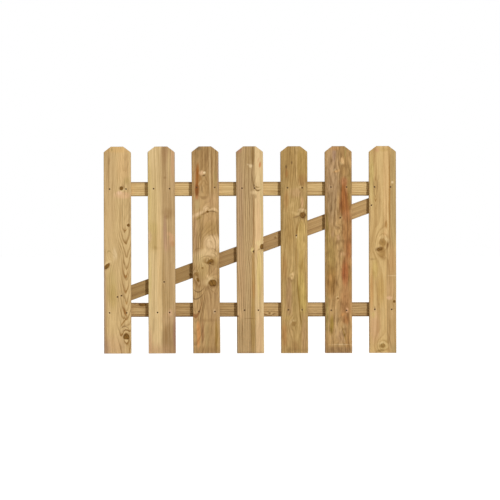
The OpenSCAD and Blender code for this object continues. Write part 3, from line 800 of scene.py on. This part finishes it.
def section(board):
    """Points round the section, front face first, as (across, deep, facing across, facing deep)."""
    half = board.width / 2
    radius = board.arris
    flat = spread(radius - half, half - radius, CELL, board.corners)
    depths = np.linspace(radius, board.thick - radius, SIDE_STEPS + 1)
    turns = np.radians(np.linspace(-90, 0, ARRIS_STEPS + 1))
    front = [(across, 0, 0, -1) for across in flat]
    bend = [
        (half - radius + radius * math.cos(a), radius + radius * math.sin(a), math.cos(a), math.sin(a))
        for a in turns[1:]
    ]
    side = [(half, deep, 1, 0) for deep in depths[1:-1]]
    away = [(across, board.thick - deep, out, -behind) for across, deep, out, behind in reversed(bend)]
    right = bend + side + away
    back = [(across, board.thick, 0, 1) for across in flat[::-1]]
    left = [(-across, deep, -out, behind) for across, deep, out, behind in reversed(right)]
    return np.array(front + right + back + left), len(flat), len(right)


def heights(board, across):
    """The height of every row at every place round the section."""
    low = np.array([board.low(u) for u in across])
    high = np.array([board.high(u) for u in across])
    start = low.max() + END_ZONE
    stop = high.min() - END_ZONE
    rows = spread(low.min(), high.max(), ROW)[1:-1, None]
    foot = low + (rows - low.min()) * (start - low) / (start - low.min())
    head = high - (high.max() - rows) * (high - stop) / (high.max() - stop)
    body = np.where(rows < start, foot, np.where(rows > stop, head, rows))
    body = body[(rows[:, 0] > low.min() + 1) & (rows[:, 0] < high.max() - 1)]
    feet = [low + gap for gap in reversed(END_BREAK)]
    heads = [high - gap for gap in END_BREAK]
    return np.vstack([*feet, body, *heads])


places, columns, edge = section(pale_1)
print("a pale's net has", len(places), "points round it in", len(heights(pale_1, places[:, 0])), "rows")

# %% [markdown]
# ## What years and a planer leave on the surface
# Planing leaves long shallow waves, dry knots stand in a slight hollow with torn grain
# beside them, hammering dimples the wood round a nail, and arrises pick up dents. All
# of it goes inwards from the CAD surface, so a board never outgrows its solid.

# %% Relief, in mm inwards
WAVES = 7
SKIN = 0.12  # how far the faces lie inside the CAD surface on average
PLANER = (0.07, 60, 4)  # the depth, size and stretch of the planer's waves
GRAIN = (0.04, 14, 5)  # and of the raised grain's
TEAR = 0.12
TEAR_SIZE = 5
NAIL_DIMPLE = 0.3
DIMPLE_RADIUS = 3.6
DENTS = 7


def ripple(rng, across, up, size, stretch):
    """Smooth waves between about -1 and 1, of the given size across and stretched along."""
    total = np.zeros_like(across)
    for _ in range(WAVES):
        angle, phase, scale = rng.uniform(0, 1, 3)
        swing = math.tau / (size * (0.6 + 0.8 * scale))
        way = math.pi * angle
        place = across * math.cos(way) + up * math.sin(way) / stretch
        total += np.sin(swing * place + math.tau * phase)
    return total / WAVES ** 0.5 / 1.4


def knot_distance(knot, across, up):
    """How far a place is from a knot's middle, in the knot's own sizes."""
    way = math.radians(knot.turn)
    aside = (across - knot.across) * math.cos(way) - (up - knot.up) * math.sin(way)
    along = (across - knot.across) * math.sin(way) + (up - knot.up) * math.cos(way)
    return np.hypot(aside / knot.size, along / (knot.size * knot.long))


def relief(board, across, up, nails):
    rng = np.random.default_rng(board.seed)
    depth = np.full_like(across, SKIN)
    for height, size, stretch in (PLANER, GRAIN):
        depth += height * ripple(rng, across, up, size, stretch)
    torn = np.abs(ripple(rng, across, up, TEAR_SIZE, 2))
    depth += board.mottle * TEAR * torn
    for knot in board.knots:
        away = knot_distance(knot, across, up)
        rim = np.exp(-(((away - 1.1) / 0.3) ** 2))
        halo = np.exp(-(((away - 1.5) / 0.6) ** 2))
        depth += (0.1 + 0.25 * knot.dark) * rim + 0.2 * halo * torn - 0.05 * (away < 0.8)
    for nail_across, nail_up in nails:
        away = np.hypot(across - nail_across, up - nail_up)
        depth += NAIL_DIMPLE * np.exp(-((away / DIMPLE_RADIUS) ** 2))
    return np.maximum(depth, 0.0)


def dents(board, across, deep, up):
    """Dents in the arrises: the listed nicks, and a few small ones in places of chance."""
    rng = np.random.default_rng(board.seed + 100)
    half = board.width / 2
    span = board.high(0) - board.low(0)
    chance = [
        (half * rng.choice((-1, 1)), board.low(0) + span * rng.uniform(), rng.uniform(0.25, 0.8))
        for _ in range(DENTS)
    ]
    depth = np.zeros_like(across)
    for side, height, size in chance + board.nicks:
        away = np.sqrt((across - side) ** 2 + (deep * 0.8) ** 2 + ((up - height) * 0.6) ** 2)
        depth = np.maximum(depth, size * np.exp(-((away / (2.2 + size)) ** 2)))
    return depth


rows = np.linspace(0, pale_1.high(0), 200)
deepest = relief(pale_1, np.full(200, 15.0), rows, []).max()
print("deepest place 15 mm beside a pale's centreline:", deepest.round(2), "mm")

# %% [markdown]
# ## Nail seats
# A nail driven by hand pulls its head just under the face and leaves a small round
# hole with a crushed rim. The net is too coarse for that, so a square of its cells is
# taken out round each nail and closed with rings that run from the square to a circle,
# over the rim and down the hole to behind the head.

# %% Rings round a nail
SEAT = ((4.6, 0.02), (3.5, 0.1), (2.85, 0.28), (2.56, 0.6), (2.56, 2.05))  # radius, depth in mm
SEAT_MAP = (4.6, 3.5, 2.9, 2.5, 1.4)  # the same rings' radii on the bake map


def nails_in(board):
    """The nails whose heads sit in this board's face, across and up from its lower end."""
    if not board.name.startswith("pale"):
        return []
    way = math.radians(board.turn)
    found = []
    for name in nodes:
        if "nail" in name and board.name in name:
            low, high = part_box(name)
            x = (low.x + high.x) / 2 - board.origin[0]
            z = (low.z + high.z) / 2 - board.origin[2]
            across = (x * math.cos(way) - z * math.sin(way)) / MM
            up = (x * math.sin(way) + z * math.cos(way)) / MM
            found.append((across, up))
    return found


def block_round(flat, rows, across, up):
    """The first and last column and row of the cells to take out round a nail."""
    column = int(np.argmin(np.abs(flat - across)))
    row = int(np.argmin(np.abs(rows - up)))
    size = min(3, column, len(flat) - 1 - column)
    return column - size, column + size, row - size, row + size


def loop_round(block):
    """The net's points round a block, as (column, row), anticlockwise."""
    left, right, low, high = block
    bottom = [(c, low) for c in range(left, right)]
    side = [(right, r) for r in range(low, high)]
    top = [(c, high) for c in range(right, left, -1)]
    return bottom + side + top + [(left, r) for r in range(high, low, -1)]


print("nails in pale_1:", [(round(a), round(u)) for a, u in nails_in(pale_1)])

# %% [markdown]
# ## From net to mesh
# The net is closed over both sawn ends, and unrolled for baking: the section runs
# across the map and the length runs up it, and the ends lie in a strip at the side.

# %% Build a board
MAP_WIDTH = 0.9  # of the bake map, taken by the section
MAP_LENGTH = 0.98  # and by the length
MAP_MARGIN = 0.01
END_STRIP = (0.93, 0.99)  # where the ends lie across the map
LOW_END, HIGH_END = 0.02, 0.52  # where each of them starts up it
END_LENGTH = 0.45
SAW_MARK = 0.12  # mm
BRUISE_RADIUS = 4.2
SHARP = math.radians(32)  # edges that turn by more than this stay sharp


class Net:
    """Points, faces and bake-map corners, gathered before they become a mesh."""

    def __init__(self):
        self.points = []
        self.map = []
        self.faces = []

    def add(self, point, spot):
        self.points.append(point)
        self.map.append(spot)
        return len(self.points) - 1


def end_cap(board, net, ring, columns, edge, level, strip, face):
    """Closes an end with strips from the front to the back. ring is the last row's points."""
    deeps = [net.points[i][1] for i in ring[columns : columns + edge]]
    strips = []
    low, high = END_STRIP
    for k in range(columns):
        front = ring[k]
        back = ring[2 * columns + edge - 1 - k]
        across = net.points[front][0]
        line = [front]
        for deep in deeps:
            mark = SAW_MARK * math.sin(across * 2.1 + 0.7 * math.sin(deep)) * face
            line.append(net.add((across, deep, level(across) - abs(mark) * face), None))
        strips.append([*line, back])
    right = ring[columns - 1 : columns + edge + 1]
    left = [ring[0], *ring[: 2 * columns + edge - 1 : -1], ring[2 * columns + edge - 1]]
    lines = [left, *strips, right]
    for line, following in zip(lines, lines[1:]):
        for m in range(edge + 1):
            around = (line[m], following[m], following[m + 1], line[m + 1])
            corners = list(dict.fromkeys(around))
            spots = []
            for i in corners:
                across, deep, _ = net.points[i]
                spots.append((
                    low + (high - low) * deep / board.thick,
                    strip + END_LENGTH * (across / board.width + 0.5),
                ))
            net.faces.append((corners, spots))


def seat_nail(board, net, grid, block, across, up):
    """Fills a block that was left out with rings down to a nail's seat."""
    outline = [grid[r][c] for c, r in loop_round(block)]
    count = len(outline)
    loop = outline
    spots = [net.map[i] for i in loop]
    first_column, last_column, low_row, _ = block
    near = grid[low_row][first_column]
    far = grid[low_row][last_column]
    scale_across = (net.map[far][0] - net.map[near][0]) / (net.points[far][0] - net.points[near][0])
    scale_up = MAP_LENGTH / board.span
    base = net.map[near]
    origin = net.points[near]
    for (radius, depth), flat_radius in zip(SEAT, SEAT_MAP):
        ring = []
        ring_spots = []
        for i in outline:
            x, _, z = net.points[i]
            way = math.atan2(z - up, x - across)
            surface = SKIN + NAIL_DIMPLE * math.exp(-((radius / DIMPLE_RADIUS) ** 2))
            place = (across + radius * math.cos(way), surface + depth, up + radius * math.sin(way))
            spot = (
                base[0] + (across + flat_radius * math.cos(way) - origin[0]) * scale_across,
                base[1] + (up + flat_radius * math.sin(way) - origin[2]) * scale_up,
            )
            ring.append(net.add(place, spot))
            ring_spots.append(spot)
        for k in range(count):
            n = (k + 1) % count
            net.faces.append((
                [loop[k], loop[n], ring[n], ring[k]],
                [spots[k], spots[n], ring_spots[n], ring_spots[k]],
            ))
        loop, spots = ring, ring_spots
    middle = (
        base[0] + (across - origin[0]) * scale_across,
        base[1] + (up - origin[2]) * scale_up,
    )
    floor = net.add((across, SKIN + SEAT[-1][1], up), middle)
    for k in range(count):
        n = (k + 1) % count
        net.faces.append(([loop[k], loop[n], floor], [spots[k], spots[n], middle]))


def build(board):
    ring, columns, edge = section(board)
    levels = heights(board, ring[:, 0])
    base = levels.min()
    board.span = levels.max() - base
    nails = nails_in(board)
    across = np.broadcast_to(ring[:, 0], levels.shape)
    deep = np.broadcast_to(ring[:, 1], levels.shape)
    inward = relief(board, across, levels, nails) + dents(board, across, deep, levels)
    last = len(levels) - 1
    for j, gap in enumerate(reversed(END_BREAK)):
        inset = END_BREAK[0] - gap
        inward[j] += inset
        inward[last - j] += inset
    x = across - ring[:, 2] * inward
    y = deep - ring[:, 3] * inward
    steps = np.hypot(*np.diff(np.vstack([ring, ring[:1]])[:, :2], axis=0).T)
    unrolled = np.concatenate([[0], np.cumsum(steps)]) / steps.sum() * MAP_WIDTH
    tall = (levels - base) / board.span * MAP_LENGTH + MAP_MARGIN
    net = Net()
    count = len(ring)
    grid = [
        [net.add((x[j, i], y[j, i], levels[j, i]), (unrolled[i], tall[j, i])) for i in range(count)]
        for j in range(last + 1)
    ]
    middle_rows = levels[:, columns // 2]
    blocks = [block_round(ring[:columns, 0], middle_rows, a, u) for a, u in nails]
    taken = {
        (c, r) for left, right, low, high in blocks for c in range(left, right) for r in range(low, high)
    }
    for j in range(last):
        for i in range(count):
            if (i, j) in taken:
                continue
            n = (i + 1) % count
            corners = [grid[j][i], grid[j][n], grid[j + 1][n], grid[j + 1][i]]
            spots = [
                (unrolled[i], tall[j, i]), (unrolled[i + 1], tall[j, n]),
                (unrolled[i + 1], tall[j + 1, n]), (unrolled[i], tall[j + 1, i]),
            ]
            net.faces.append((corners, spots))
    for block, (nail_across, nail_up) in zip(blocks, nails):
        seat_nail(board, net, grid, block, nail_across, nail_up)
    end_cap(board, net, grid[0], columns, edge, board.low, LOW_END, -1)
    end_cap(board, net, grid[last], columns, edge, board.high, HIGH_END, 1)
    return mesh_from(board, net, nails)


def mesh_from(board, net, nails):
    points = np.array(net.points)
    mesh = bpy.data.meshes.new(board.name + "_timber")
    way = math.radians(board.turn)
    turned = np.column_stack((
        points[:, 0] * math.cos(way) + points[:, 2] * math.sin(way),
        points[:, 1],
        points[:, 2] * math.cos(way) - points[:, 0] * math.sin(way),
    ))
    placed = turned * MM + np.array(board.origin)
    mesh.from_pydata(placed.tolist(), [], [corners for corners, _ in net.faces])
    layer = mesh.uv_layers.new(name="OFBake")
    layer.uv.foreach_set("vector", np.array([s for _, spots in net.faces for s in spots]).ravel())
    mesh.polygons.foreach_set("use_smooth", [True] * len(mesh.polygons))
    across, deep, up = points.T
    low = np.array([board.low(u) for u in across])
    high = np.array([board.high(u) for u in across])
    half = board.width / 2
    from_end = np.minimum(up - low, high - up)
    from_corner = np.hypot(half - np.abs(across), np.minimum(deep, board.thick - deep))
    bruise = np.zeros(len(points))
    for nail_across, nail_up in nails:
        away = np.hypot(across - nail_across, up - nail_up)
        bruise = np.maximum(bruise, np.exp(-((away / BRUISE_RADIUS) ** 2)) * (deep < SEAT[-1][0]))
    facts = {
        "endgrain": np.clip(1 - from_end / END_BREAK[0], 0, 1),
        "arris": np.clip(1.3 - from_corner / board.arris, 0, 1),
        "bruise": bruise,
    }
    for name, values in facts.items():
        mesh.attributes.new(name, "FLOAT", "POINT").data.foreach_set("value", values)
    work = bmesh.new()
    work.from_mesh(mesh)
    bmesh.ops.recalc_face_normals(work, faces=work.faces)
    work.to_mesh(mesh)
    work.free()
    mesh.set_sharp_from_angle(angle=SHARP)
    made = bpy.data.objects.new(board.name + "_timber", mesh)
    bpy.context.scene.collection.objects.link(made)
    return made


timbers = {}
for board in boards:
    timbers[board.name] = build(board)
    print(board.name, "has", len(timbers[board.name].data.polygons), "faces")

# %% [markdown]
# ## Solid wood
# A picture of grain wrapped round a board would not meet at its edges. Here the finish
# works out, for any place in the board, how many rings it is from the pith. Knots bend
# that count round themselves, so the lines on the face flow past them, the arches nest
# where the cut grazes a ring, and the ends show arcs, all from one formula. Noise lies
# about 0.5, and the two numbers that ease is given say where a pattern starts to show
# and where it shows in full.

# %% The wood's finish
KNOT_HEART = tone(150, 108, 46)
KNOT_BLACK = tone(88, 56, 14)
END_BROWN = tone(140, 106, 68)
CRUSHED = (1.14, 1.17, 1.24)  # what crushing does to the wood's own colour
IRON_STAIN = tone(70, 48, 20)
GRIME = tone(128, 106, 80)
BRIGHT = (1.16, 1.17, 1.2)  # what a pale fibre does to the wood's own colour
SWIRL = 0.4  # how fast a knot's swirl ends along the grain, where across it is 1
# The size of each pattern in the wood, across, deep and along, in mm
DRIFT_SIZE = (30, 30, 240)
WAVE_SIZE = (26, 26, 60)
ROUGH_SIZE = (5, 5, 22)
BLOTCH_SIZE = (8, 8, 26)
STREAK_SIZE = (2.6, 4, 130)
BAND_SIZE = (9, 16, 420)
FIBRE_SIZE = (0.7, 0.7, 24)


def own_view(finish, place, centre, turn, size):
    """How far a place lies to the side of and above a knot's or stain's middle, in its own sizes."""
    way = math.radians(turn)
    wide, tall = size
    away = finish.vector("SUBTRACT", place, (centre[0], 0, centre[1]))
    side = (math.cos(way) / wide, 0, -math.sin(way) / wide)
    top = (math.sin(way) / tall, 0, math.cos(way) / tall)
    return [finish.part(away, axis) for axis in (side, top)]


def reach_of(finish, aside, along):
    pair = finish.node("CombineXYZ", inputs={0: aside, 2: along})
    return finish.vector("LENGTH", pair, output="Value")


def bend_round(finish, board, place, across):
    """How knots push the grain aside, the rings they lift, and each knot's own coordinates."""
    bent = across
    lift = 0.0
    views = []
    for knot in board.knots:
        size = (knot.size, knot.size * knot.long)
        aside, along = own_view(finish, place, (knot.across, knot.up), knot.turn, size)
        swirl = aside * aside + along * along * SWIRL
        near = 1 / (1 + swirl / knot.reach ** 2)
        bent = bent - (across - knot.across) * near
        lift = near * knot.swell + lift
        views.append((aside, along, reach_of(finish, aside, along)))
    return bent, lift, views


def stain_and_shade_mask(finish, stain, swayed, torn):
    """Where a patch shows: a soft ellipse, turned and bowed, whose edge is torn along the grain. Most
    patches are stains; the rails' edge strips are painted shade.
    """
    size = (stain.half_width, stain.half_height)
    aside, along = own_view(finish, swayed, (stain.across, stain.up), stain.turn, size)
    if stain.bow:
        along = along - aside * aside * (stain.bow / stain.half_height)
    edge = finish.math("MULTIPLY_ADD", torn, stain.ragged, reach_of(finish, aside, along))
    return finish.ease(edge, 1 + stain.soft, 1 - stain.soft, stain.strength)


def knot_colour(finish, board, knot, view, rough, colour):
    """A knot's heart with its own rings and checks, a dark bark rim, a pale crescent of painted highlight
    on one side and painted shade on the other.
    """
    aside, along, distance = view
    edge = distance + (rough - 0.5) * 0.9
    way = math.radians(knot.lit)
    facing = aside * math.sin(way) + along * math.cos(way)
    # Painted highlight: a pale crescent on the side that the knot's lit angle points to.
    if knot.painted_highlight:
        painted_highlight = finish.ease(distance, 2.3, 1.2) * finish.ease(distance, 0.8, 1.1)
        painted_highlight = painted_highlight * finish.ease(rough, 0.36, 0.6)
        colour = finish.blend(painted_highlight * finish.ease(facing, 0.1, 1.1) * knot.painted_highlight, colour, PAINTED_HIGHLIGHT_STRAW)
    if not knot.dark:
        return colour, 0.0
    # Painted shade: the wood beside the knot darkens on the side away from the highlight.
    shade = finish.ease(distance, 1.9, 1.0) * finish.ease(facing, 0.5, -0.9)
    colour = finish.blend(shade * (0.5 * knot.dark), colour, board.late)
    rings = finish.math("SINE", distance * 17.0) * 0.5 + 0.5
    heart = finish.blend(rings * 0.35, KNOT_HEART, KNOT_BLACK)
    from_crack = finish.math("ABSOLUTE", aside * 0.8 + along * 0.6 + (rough - 0.5) * 1.2)
    crack = finish.ease(from_crack, 0.16, 0.05)
    heart = finish.blend(crack * 0.8, heart, KNOT_BLACK)
    # The dark bark rim is the knot's own, but it is made heavier away from the highlight as painted
    # shade.
    rim = finish.ease(edge, 0.45, 0.95) * finish.ease(facing, 1.3, -0.3)
    heart = finish.blend((rim * 0.75 + 0.25) * knot.dark, heart, KNOT_BLACK)
    inside = finish.ease(edge, 1.18, 0.8)
    return finish.blend(inside * min(1, 0.3 + knot.dark), colour, heart), inside * (0.3 * knot.dark)


def own_place(finish, board):
    """Any place in the board's own mm: across it, deep behind its face, and up from its origin."""
    world = finish.node("TexCoord", output="Object")
    turn = (0, math.radians(board.turn), 0)
    frame_of = {"Vector": world, "Location": board.origin, "Rotation": turn, "Scale": (MM, MM, MM)}
    return finish.node("Mapping", {"vector_type": "TEXTURE"}, frame_of)


def late_wood(finish, rings):
    """Where the dark part of a yearly ring is, and how strong it is in that year."""
    phase = finish.math("FRACT", rings)
    late = finish.ease(phase, 0.45, 0.9) * finish.ease(phase, 1.0, 0.93)
    year = finish.node("TexWhiteNoise", {"noise_dimensions": "1D"}, {"W": finish.math("FLOOR", rings)})
    return late, year * 0.7 + 0.4


def clearness(finish, board, across, up, lift):
    """How clear the rings are: most in the board's figure, below its fade and by its knots."""
    middle, half = board.figure
    aside = finish.math("ABSOLUTE", across - middle)
    clear = finish.ease(up, board.fade[1], board.fade[0]) * finish.ease(aside, half + 8, half - 8)
    clear = clear * (0.75 * board.lines) + 0.25 * board.lines
    if board.knots:
        clear = clear + finish.ease(lift, 0.7, 2.2) * 0.25
    return clear


def wear(finish, colour, rough, late, end):
    """Grime on the arrises, crushed wood and iron stain round the nails, and darker sawn ends."""
    bruise = finish.attribute("bruise")
    colour = finish.blend(finish.attribute("arris") * (rough * 0.5), colour, GRIME)
    crush = finish.ease(bruise, 0.06, 0.3) * finish.ease(rough, 0.46, 0.6)
    colour = finish.tint(crush * 0.8, colour, CRUSHED)
    colour = finish.blend(finish.ease(bruise, 0.5, 0.74) * 0.85, colour, IRON_STAIN)
    return finish.blend(end * (late * 0.3 + 0.55), colour, END_BROWN)


def wood(board):
    material = bpy.data.materials.new(board.name + "_wood")
    finish = Finish(material)
    place = own_place(finish, board)
    across, deep, up = [finish.part(place, axis) for axis in ((1, 0, 0), (0, 1, 0), (0, 0, 1))]
    own = (137.0 * board.seed, 59.0 * board.seed, 911.0 * board.seed)
    apart = finish.vector("ADD", place, own)
    drift = finish.grainy(apart, DRIFT_SIZE)
    wave = finish.grainy(apart, WAVE_SIZE)
    rough = finish.grainy(apart, ROUGH_SIZE, 3.0)
    blotch = finish.grainy(apart, BLOTCH_SIZE, 3.0)

    sway = (wave - 0.5) * board.wave
    swayed = finish.node("CombineXYZ", inputs={0: across + sway, 1: deep, 2: up})
    bent, lift, views = bend_round(finish, board, place, across)
    bent = bent + sway
    flowing = finish.node("CombineXYZ", inputs={0: bent, 1: deep, 2: up})
    drawn = finish.vector("ADD", flowing, own)
    streak = finish.grainy(drawn, STREAK_SIZE, 3.0)
    band = finish.grainy(drawn, BAND_SIZE, 1.0)
    fibre = finish.grainy(drawn, FIBRE_SIZE)

    pith_across, pith_deep = board.pith
    offset = finish.node("CombineXYZ", inputs={0: bent - pith_across, 1: deep - pith_deep})
    from_pith = finish.vector("LENGTH", offset, output="Value") / board.ring
    rings = from_pith + up * board.taper + (drift - 0.5) * (6 * board.wander) + lift
    rings = rings + (rough - 0.5) * 0.4
    late, strength = late_wood(finish, rings)

    colour = (*board.early, 1)
    torn = (rough - 0.5) * 2 + (streak - 0.5) * 3
    # These patches are stains in the wood, except the rails' edge strips, which are painted shade.
    for stain in board.stains_and_shade:
        colour = finish.blend(stain_and_shade_mask(finish, stain, swayed, torn), colour, stain.colour)
    darker = tuple(late_part / early_part for late_part, early_part in zip(board.late, board.early))
    colour = finish.tint(late * strength * clearness(finish, board, across, up, lift), colour, darker)
    colour = finish.tint(finish.ease(streak, 0.5, 0.66, board.streaks), colour, darker)
    colour = finish.tint(finish.ease(streak, 0.48, 0.34, board.streaks), colour, BRIGHT)
    colour = finish.tint(finish.ease(band, 0.48, 0.68, 0.3), colour, darker)
    colour = finish.tint(finish.ease(blotch, 0.5, 0.7, 0.65 * board.mottle), colour, darker)
    colour = finish.tint(finish.ease(blotch, 0.5, 0.3, 1.8 * board.mottle), colour, BRIGHT)
    colour = finish.tint(finish.ease(fibre, 0.5, 0.75, 0.25), colour, darker)

    hollow = 0.0
    for knot, view in zip(board.knots, views):
        colour, sunk = knot_colour(finish, board, knot, view, rough, colour)
        if knot.dark:
            hollow = sunk + hollow

    end = finish.attribute("endgrain")
    colour = wear(finish, colour, rough, late, end)
    height = late * -0.05 + fibre * 0.10 + streak * 0.08 + rough * 0.12
    height = height + blotch * (0.4 * board.mottle) - hollow
    roughness = 0.7 - late * 0.08 + (fibre - 0.5) * 0.15 + end * 0.2
    finish.surface(colour, roughness, height, 0.6, **{"Specular IOR Level": 0.15})
    return material


for board in boards:
    timber = timbers[board.name]
    timber.data.materials.append(wood(board))
    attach(timber, "root")
    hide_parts(board.name)
    print(board.name, "wood uses", len(timber.data.materials[0].node_tree.nodes), "nodes")

# %% [markdown]
# ## Nails
# The frame's nails are already turned solids with a head, a plain shank and rings, so
# they stay and only get a finish: dark, dull steel with brown rust in patches.


# %% The nails' steel
DULL_STEEL = tone(86, 64, 34)
BROWN_RUST = tone(98, 62, 24)


def steel():
    material = bpy.data.materials.new("nail_steel")
    finish = Finish(material)
    place = finish.vector("MULTIPLY", finish.node("TexCoord", output="Object"), (1 / MM,) * 3)
    patches = finish.grainy(place, (1.6, 1.6, 1.6), 4.0)
    specks = finish.grainy(place, (0.3, 0.3, 0.3))
    rust = finish.ease(patches, 0.42, 0.6)
    colour = finish.blend(rust, DULL_STEEL, BROWN_RUST)
    height = specks * 0.04 + rust * 0.05
    finish.surface(colour, 0.55 + rust * 0.35, height, 0.5, Metallic=0.35 - rust * 0.3)
    return material


nail_finish = steel()
nails = [name for name in nodes if "nail" in name]
for name in nails:
    nodes[name].data.materials.clear()
    nodes[name].data.materials.append(nail_finish)
print("nails with the steel finish:", len(nails))

# %% [markdown]
# ## Floor, light and camera
# A gate is best read straight on, as it hangs. The camera stands far off with a long
# lens so that the pales stay parallel. One small lamp at the front right throws a
# narrow shadow beside each pale, a wide one behind lights the back, and a pale, even
# surround fills the rest.

# %% The stage
LENS_DISTANCE = 4.5  # metres in front of the gate
VIEW_WIDTH = 1.6955  # metres across the view at the gate
SENSOR = 36.0
VIEW_ROLL = 0.14  # degrees
EYE_HEIGHT = 0.3503
FLOOR_RADIUS = 60.0
FLOOR_GLOW = 0.96
KEY_PLACE = (1.72, -2.9, 1.25)
KEY_SIZE = 0.24
KEY_POWER = 0.712
KEY_COLOUR = (0.955, 1.015, 1.12, 1)
REAR_PLACE = (-2.2, 4.0, 2.6)
REAR_SIZE = 2.0
REAR_POWER = 0.42
FILL_COLOUR = (1.0, 0.912, 0.735, 1)
FILL_STRENGTH = 0.38


def pale_ground(name, seen):
    """A ground that lights the gate like a pale matt one and looks nearly white to the camera."""
    material = bpy.data.materials.new(name)
    finish = Finish(material)
    matt = finish.node("BsdfDiffuse", inputs={"Color": (0.8, 0.8, 0.79, 1)})
    faint = finish.node("BsdfDiffuse", inputs={"Color": (0.2, 0.2, 0.2, 1)})
    glow = finish.node("Emission", inputs={"Color": (1, 1, 1, 1), "Strength": seen})
    bright = finish.node("AddShader", inputs={0: faint, 1: glow})
    looked_at = finish.node("LightPath", output="Is Camera Ray")
    both = finish.node("MixShader", inputs={0: looked_at, 1: matt, 2: bright})
    finish.node("OutputMaterial", inputs={"Surface": both})
    return material


def disc(name, radius, sides=96):
    turns = [math.tau * k / sides for k in range(sides)]
    mesh = bpy.data.meshes.new(name)
    mesh.from_pydata([(radius * math.cos(t), radius * math.sin(t), 0) for t in turns], [], [range(sides)])
    made = bpy.data.objects.new(name, mesh)
    bpy.context.scene.collection.objects.link(made)
    return made


def lamp(name, place, target, size, power, colour=(1, 1, 1, 1)):
    """A round soft lamp at a place, turned to a target, whose light doesn't weaken on the way."""
    light = bpy.data.lights.new(name, "AREA")
    light.shape = "DISK"
    light.size = size
    finish = Finish(light)
    even = finish.node("LightFalloff", inputs={"Strength": power}, output="Constant")
    glow = finish.node("Emission", inputs={"Color": colour, "Strength": even})
    finish.node("OutputLight", inputs={"Surface": glow})
    made = bpy.data.objects.new(name, light)
    made.location = place
    made.rotation_euler = (target - made.location).to_track_quat("-Z", "Y").to_euler()
    bpy.context.scene.collection.objects.link(made)
    return made


floor = disc("floor", FLOOR_RADIUS)
floor.data.materials.append(pale_ground("pale_floor", FLOOR_GLOW))
middle = Vector((0, 0, EYE_HEIGHT))
lamp("key", KEY_PLACE, middle, KEY_SIZE, KEY_POWER, KEY_COLOUR)
lamp("rear_fill", REAR_PLACE, middle, REAR_SIZE, REAR_POWER)

scene = bpy.context.scene
scene.view_settings.view_transform = "Standard"
scene.world = bpy.data.worlds.new("surround")
surround = Finish(scene.world)
lit = surround.node("Background", inputs={"Color": FILL_COLOUR, "Strength": FILL_STRENGTH})
seen = surround.node("Background", inputs={"Color": (1, 1, 1, 1)})
looked_at = surround.node("LightPath", output="Is Camera Ray")
both = surround.node("MixShader", inputs={0: looked_at, 1: lit, 2: seen})
surround.node("OutputWorld", inputs={"Surface": both})

lens = bpy.data.cameras.new("camera")
lens.sensor_width = SENSOR
lens.lens = SENSOR * LENS_DISTANCE / VIEW_WIDTH
camera = bpy.data.objects.new("camera", lens)
camera.location = (0, cad_box[0][1] - LENS_DISTANCE, EYE_HEIGHT)
camera.rotation_euler = (math.radians(90), math.radians(VIEW_ROLL), 0)
scene.collection.objects.link(camera)
scene.camera = camera
print("the lens is", round(lens.lens, 1), "mm")
